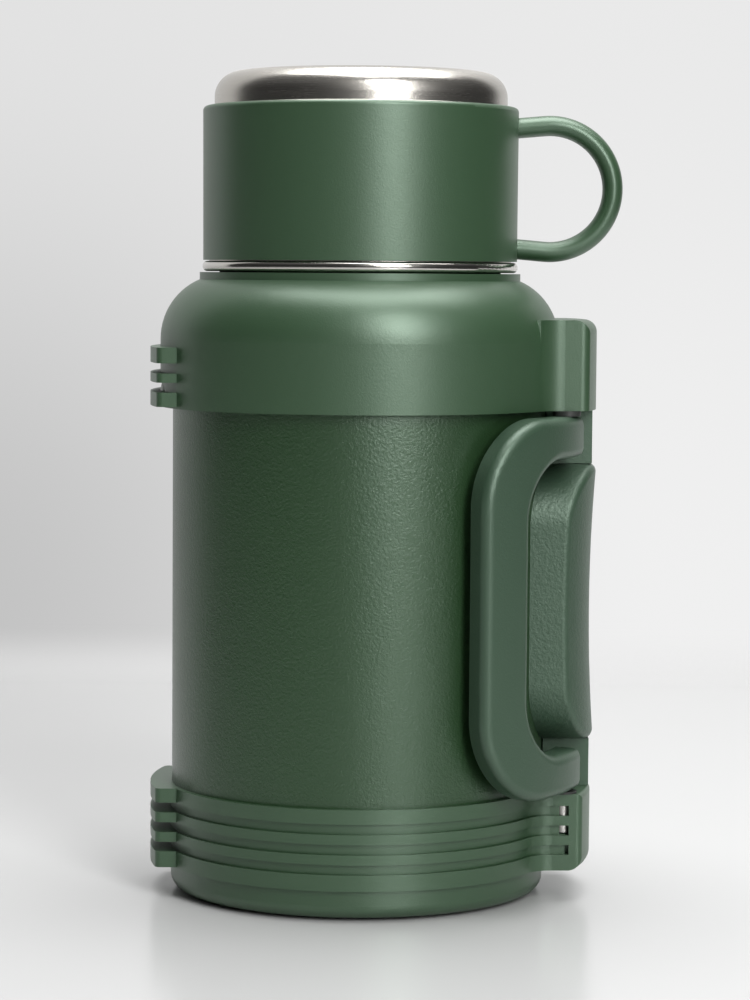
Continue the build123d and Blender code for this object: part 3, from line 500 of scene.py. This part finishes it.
def make_stage():
    bm = bmesh.new()
    profile = [(TABLE_FRONT, 0.0), (TABLE_END, 0.0)]
    for step in range(1, BEND_STEPS + 1):
        angle = math.pi / 2 * step / BEND_STEPS
        profile.append((TABLE_END + BEND * math.sin(angle), BEND - BEND * math.cos(angle)))
    profile.append((TABLE_END + BEND, BACKDROP_TOP))
    rows = []
    for x in (STAGE_LEFT, STAGE_RIGHT):
        rows.append([bm.verts.new((x, y, z)) for y, z in profile])
    for i in range(len(profile) - 1):
        face = bm.faces.new((rows[0][i], rows[1][i], rows[1][i + 1], rows[0][i + 1]))
        face.smooth = True
    mesh = bpy.data.meshes.new("stage")
    bm.to_mesh(mesh)
    bm.free()
    stage = bpy.data.objects.new("stage", mesh)
    bpy.context.scene.collection.objects.link(stage)
    stage.data.materials.append(stage_material())


def area_light(name, place, target, size, power):
    data = bpy.data.lights.new(name, "AREA")
    data.shape = "RECTANGLE"
    data.size, data.size_y = size
    data.energy = power
    lamp = bpy.data.objects.new(name, data)
    lamp.location = place
    lamp.rotation_euler = (Vector(target) - Vector(place)).to_track_quat("-Z", "Y").to_euler()
    bpy.context.scene.collection.objects.link(lamp)


# name, place, what it points at, size and power in watts
LAMPS = [
    ("soft_box", (0.61, -1.37, 0.90), (0, 0, 0.15), (0.44, 1.35), 28.0),
    ("overhead", (0.10, 0.10, 1.35), (0, 0, 0.1), (1.1, 1.1), 25.0),
]
ROOM_GLOW = {"From Min": 0.25, "From Max": 0.9, "To Min": 0.03, "To Max": 0.12}


def make_light():
    """A dim room that is lighter overhead, and the lamps."""
    world = bpy.data.worlds.new("studio")
    bpy.context.scene.world = world
    world.use_nodes = True
    nodes, links = world.node_tree.nodes, world.node_tree.links
    place = nodes.new("ShaderNodeTexCoord")
    parts = nodes.new("ShaderNodeSeparateXYZ")
    links.new(place.outputs["Generated"], parts.inputs[0])
    glow = nodes.new("ShaderNodeMapRange")
    glow.interpolation_type = "SMOOTHSTEP"
    for name, value in ROOM_GLOW.items():
        glow.inputs[name].default_value = value
    links.new(parts.outputs["Z"], glow.inputs["Value"])
    nodes["Background"].inputs["Color"].default_value = rgb(1.0, 1.0, 1.0)
    links.new(glow.outputs["Result"], nodes["Background"].inputs["Strength"])
    for lamp in LAMPS:
        area_light(*lamp)


CAMERA_SIDE = 0.0053
CAMERA_DISTANCE = 1.018
CAMERA_HEIGHT = 0.200
FOCAL = 113.65            # millimetres, with SENSOR along the longer side of the picture
SENSOR = 36.0
FARTHEST = 20.0
TILT_DOWN = 4.16
ROLL = 0.4


def make_camera():
    data = bpy.data.cameras.new("camera")
    data.lens = FOCAL
    data.sensor_width = SENSOR
    data.clip_end = FARTHEST
    camera = bpy.data.objects.new("camera", data)
    camera.location = (CAMERA_SIDE, -CAMERA_DISTANCE, CAMERA_HEIGHT)
    camera.rotation_mode = "QUATERNION"
    look = Vector((0.0, math.cos(math.radians(TILT_DOWN)), -math.sin(math.radians(TILT_DOWN))))
    turn = look.to_track_quat("-Z", "Y")
    camera.rotation_quaternion = turn @ Quaternion((0.0, 0.0, 1.0), math.radians(ROLL))
    bpy.context.scene.collection.objects.link(camera)
    bpy.context.scene.camera = camera


make_stage()
make_light()
make_camera()
bpy.context.scene.view_settings.view_transform = "Standard"
